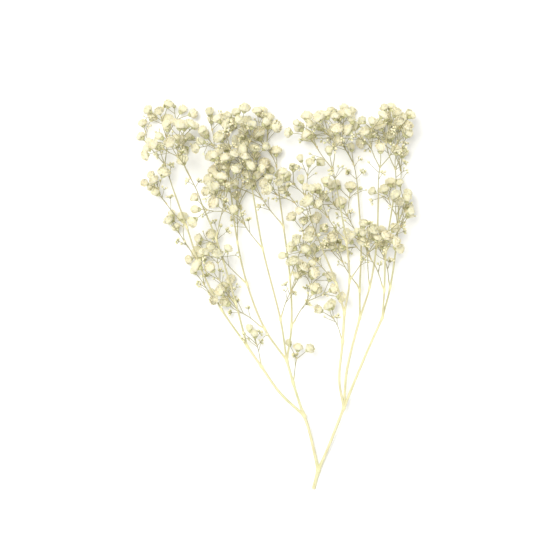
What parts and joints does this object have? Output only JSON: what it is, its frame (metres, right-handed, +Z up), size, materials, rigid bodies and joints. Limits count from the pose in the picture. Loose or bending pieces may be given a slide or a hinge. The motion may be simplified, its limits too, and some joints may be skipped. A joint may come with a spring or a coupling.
{
  "type": "gypsophila stem",
  "caption": "Cut, dried stem of double gypsophila lying flat: a forked woody frame that fans out into airy sprays of small cream blooms and buds.",
  "frame": {"origin": "on the surface that the stem lies on, below the middle of its box", "axes": "+Y along the stem from its cut end to its tips, +X to the right seen from above, +Z up"},
  "size_m": [0.1758, 0.2466, 0.055],
  "materials": {
    "dried_stem": "matt dried straw-yellow bark with fine lengthwise ridges and paler swollen joints",
    "dried_bloom": "papery cream petals, crumpled and slightly translucent, on small pale green-grey calyces"
  },
  "bodies": {
    "root": {"branch_centre": "dried_stem", "branch_centre_spray_1": "dried_bloom", "branch_centre_spray_2": "dried_bloom", "branch_centre_spray_3": "dried_bloom", "branch_centre_spray_4": "dried_bloom", "branch_far_left": "dried_stem", "branch_far_left_spray_1": "dried_bloom", "branch_far_left_spray_2": "dried_bloom", "branch_far_left_spray_3": "dried_bloom", "branch_far_left_spray_4": "dried_bloom", "branch_far_right": "dried_stem", "branch_far_right_spray_1": "dried_bloom", "branch_far_right_spray_2": "dried_bloom", "branch_far_right_spray_3": "dried_bloom", "branch_inner": "dried_stem", "branch_inner_spray_1": "dried_bloom", "branch_inner_spray_2": "dried_bloom", "branch_left": "dried_stem", "branch_left_low": "dried_stem", "branch_left_low_spray_1": "dried_bloom", "branch_left_low_spray_2": "dried_bloom", "branch_left_low_spray_3": "dried_bloom", "branch_left_low_spray_4": "dried_bloom", "branch_left_spray_1": "dried_bloom", "branch_left_spray_2": "dried_bloom", "branch_left_spray_3": "dried_bloom", "branch_left_top": "dried_stem", "branch_left_top_spray_1": "dried_bloom", "branch_left_top_spray_2": "dried_bloom", "branch_left_top_spray_3": "dried_bloom", "branch_right": "dried_stem", "branch_right_low": "dried_stem", "branch_right_low_spray_1": "dried_bloom", "branch_right_low_spray_2": "dried_bloom", "branch_right_low_spray_3": "dried_bloom", "branch_right_side": "dried_stem", "branch_right_side_spray_1": "dried_bloom", "branch_right_side_spray_2": "dried_bloom", "branch_right_side_spray_3": "dried_bloom", "branch_right_spray_1": "dried_bloom", "branch_right_spray_2": "dried_bloom", "branch_right_spray_3": "dried_bloom", "branch_right_top": "dried_stem", "branch_right_top_spray_1": "dried_bloom", "branch_right_top_spray_2": "dried_bloom", "branch_right_top_spray_3": "dried_bloom", "left_leader": "dried_stem", "left_leader_spray_1": "dried_bloom", "left_limb": "dried_stem", "left_side_limb": "dried_stem", "left_side_limb_spray_1": "dried_bloom", "main_stem": "dried_stem", "right_inner_limb": "dried_stem", "right_inner_limb_spray_1": "dried_bloom", "right_limb": "dried_stem", "right_middle_limb": "dried_stem", "right_outer_limb": "dried_stem"}
  },
  "joints": []
}
